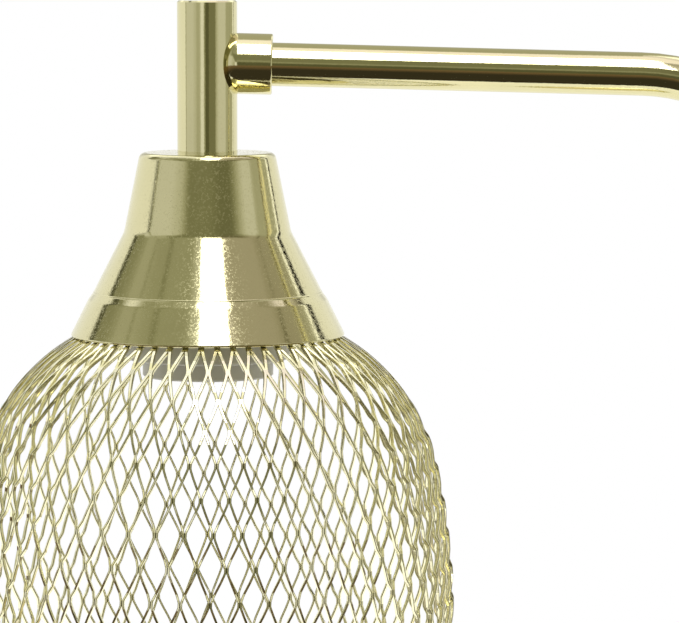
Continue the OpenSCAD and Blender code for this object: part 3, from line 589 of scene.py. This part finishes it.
def smooth(x, low, high):
    """0 below low, 1 above high, smooth between."""
    x = min(max((x - low) / (high - low), 0.0), 1.0)
    return x * x * (3 - 2 * x)


# A strand's measures, and the stretches below the rim over which its width and its sinking change. SKIN
# keeps it inside the shade's outer surface, and u is the share of its way from one bond to the next

HALF_T, HALF_W, CHAMFER, SKIN = 0.5, 0.33, 0.14, 0.07
RIM_EXTRA_W, NARROWING = 0.21, (6, 30)
SINK, SINKING = 0.85, (15, 40)
DEEPEST_U, SATIN_U = 0.72, 0.7
BOND_HALF_L, LAST_BOND_L, BOND_SIDE = 0.7, 0.9, 0.33
STUB_MIDDLE, FIRST_BOND_TOP = 0.6, 0.8
STRAIGHT, CURVED = 0.8, 0.2
DIP_END, DIP_POWER = 0.9, 1.3
BOND_TILT, FREE_TILT, TILTING = 4.0, 12.0, (0.5, 0.8)
MOST_TILTED = 50
STATIONS_U = (0.1, 0.33, 0.56, 0.72, 0.82, 0.93)


def sway(u):
    """How far across to the next bond a strand is, nearly in a straight line."""
    return STRAIGHT * u + CURVED * smooth(u, 0, 1)


def dip(u):
    """How far a strand has sunk inwards, as a share: slowly in to DEEPEST_U, and quickly out again."""
    inwards = smooth(min(u, DEEPEST_U), 0.0, DIP_END) ** DIP_POWER
    outwards = smooth(1 - u, 0.0, 1 - DEEPEST_U)
    return inwards * outwards


def half_width(s):
    """Half a strand's width, which is more near the rim."""
    return HALF_W + RIM_EXTRA_W * (1 - smooth(s, *NARROWING))


# A place along a strand: half pitches around, length below the rim, mm around, how far its face turns up,
# mm inwards, and whether its outer face is satin

Station = namedtuple("Station", "half s side tilt depth satin")


def bond_stations(j):
    """How far below the middle of a bond of row j a strand has stations, with its stub at the first row."""
    if j == 0:
        return -STUB_L, -STUB_L * STUB_MIDDLE, -BOND_HALF_L * FIRST_BOND_TOP, 0, BOND_HALF_L
    return -BOND_HALF_L, 0, LAST_BOND_L if j == MESH_ROWS else BOND_HALF_L


def strand_stations(k):
    """Strand k from the end of its stub behind the rim down to the lower edge."""
    line = []
    for j, s in enumerate(ROW_S):
        right = (j + k) % 2
        side = -BOND_SIDE if right else BOND_SIDE
        line += [Station(k + right, s + ds, side, BOND_TILT, 0.0, ds < 0) for ds in bond_stations(j)]
        if j == MESH_ROWS:
            break
        way = 1 - 2 * right
        low, high = s + BOND_HALF_L, ROW_S[j + 1] - BOND_HALF_L
        for u in STATIONS_U:
            e = sway(u)
            line.append(Station(half=k + right + way * e, s=low + (high - low) * u, side=side - 2 * side * e,
                                tilt=FREE_TILT * smooth(u, *TILTING),
                                depth=SINK * dip(u) * smooth(s, *SINKING), satin=u > SATIN_U))
    return line


def face_direction(station, along):
    """Out of the strand's face: it turns up towards the next bond, less where the shade itself leans back."""
    a = turn_at(station.half, station.s, station.side)
    a_up = lean(station.s) + min(station.tilt, max(MOST_TILTED - lean(station.s), 0))
    out = Vector((cosd(a_up) * math.cos(a), cosd(a_up) * math.sin(a), sind(a_up)))
    return (out - along * out.dot(along)).normalized()


# The corners of a strand's section in order: its side across, its side outwards, and whether the chamfer
# moves it in from the one and from the other

CORNERS = ((1, 1, False, True), (1, 1, True, False), (-1, 1, True, False), (-1, 1, False, True),
           (-1, -1, False, True), (-1, -1, True, False), (1, -1, True, False), (1, -1, False, True))
OUTER_FACE, INNER_FACE, SIDE_FACES = 1, 5, (3, 7)
# The strands' finishes: the plating and the satin are made pale as painted highlight, and the near-black one
# is painted shade
SHADE_FINISHES = ("mesh", "sheared", "satin")
MESH, PAINTED_EDGE_SHADE, SATIN = range(3)


def strand_points(line):
    """The corners of the section at each station, in metres."""
    places = [point(p.half, p.s, p.side, HALF_T + SKIN + p.depth) for p in line]
    last = len(line) - 1
    for i, station in enumerate(line):
        along = (places[min(i + 1, last)] - places[max(i - 1, 0)]).normalized()
        out = face_direction(station, along)
        across = along.cross(out).normalized()
        half_w = half_width(station.s)
        for x, y, cut_x, cut_y in CORNERS:
            corner = places[i] + across * x * (half_w - CHAMFER * cut_x)
            corner = corner + out * y * (HALF_T - CHAMFER * cut_y)
            yield corner * MM + RIM_CENTRE


def face_finish(face, satin):
    """A satin inside, a polished outer face and sides, and near-black chamfers as painted shade; satin dulls
    the outer face too.
    """
    if face == INNER_FACE or (face == OUTER_FACE and satin):
        return SATIN
    return MESH if face == OUTER_FACE or face in SIDE_FACES else PAINTED_EDGE_SHADE


def strand_faces(line, base):
    """The faces of a strand whose corners are numbered from base, each with its finish."""
    count = len(CORNERS)
    for i in range(1, len(line)):
        before, here = base + count * (i - 1), base + count * i
        satin = line[i].satin and line[i - 1].satin
        for c in range(count):
            d = (c + 1) % count
            yield (before + c, before + d, here + d, here + c), face_finish(c, satin)
    end = base + count * (len(line) - 1)
    # Both ends take the near-black painted shade of the chamfers too
    yield tuple(base + c for c in range(count)), PAINTED_EDGE_SHADE
    yield tuple(end + count - 1 - c for c in range(count)), PAINTED_EDGE_SHADE


def make_mesh():
    verts, faces, finish = [], [], []
    for k in range(2 * DIAMONDS):
        line = strand_stations(k)
        for face, face_slot in strand_faces(line, len(verts)):
            faces.append(face)
            finish.append(face_slot)
        verts += strand_points(line)
    mesh = bpy.data.meshes.new("shade_strands")
    mesh.from_pydata(verts, [], faces)
    for name in SHADE_FINISHES:
        mesh.materials.append(MATERIALS[name])
    mesh.polygons.foreach_set("material_index", finish)
    bm = bmesh.new()
    bm.from_mesh(mesh)
    bmesh.ops.recalc_face_normals(bm, faces=bm.faces)
    bm.to_mesh(mesh)
    bm.free()
    obj = bpy.data.objects.new("shade_strands", mesh)
    scene.collection.objects.link(obj)
    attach(obj, "head")
    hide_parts("shade_mesh")


make_mesh()
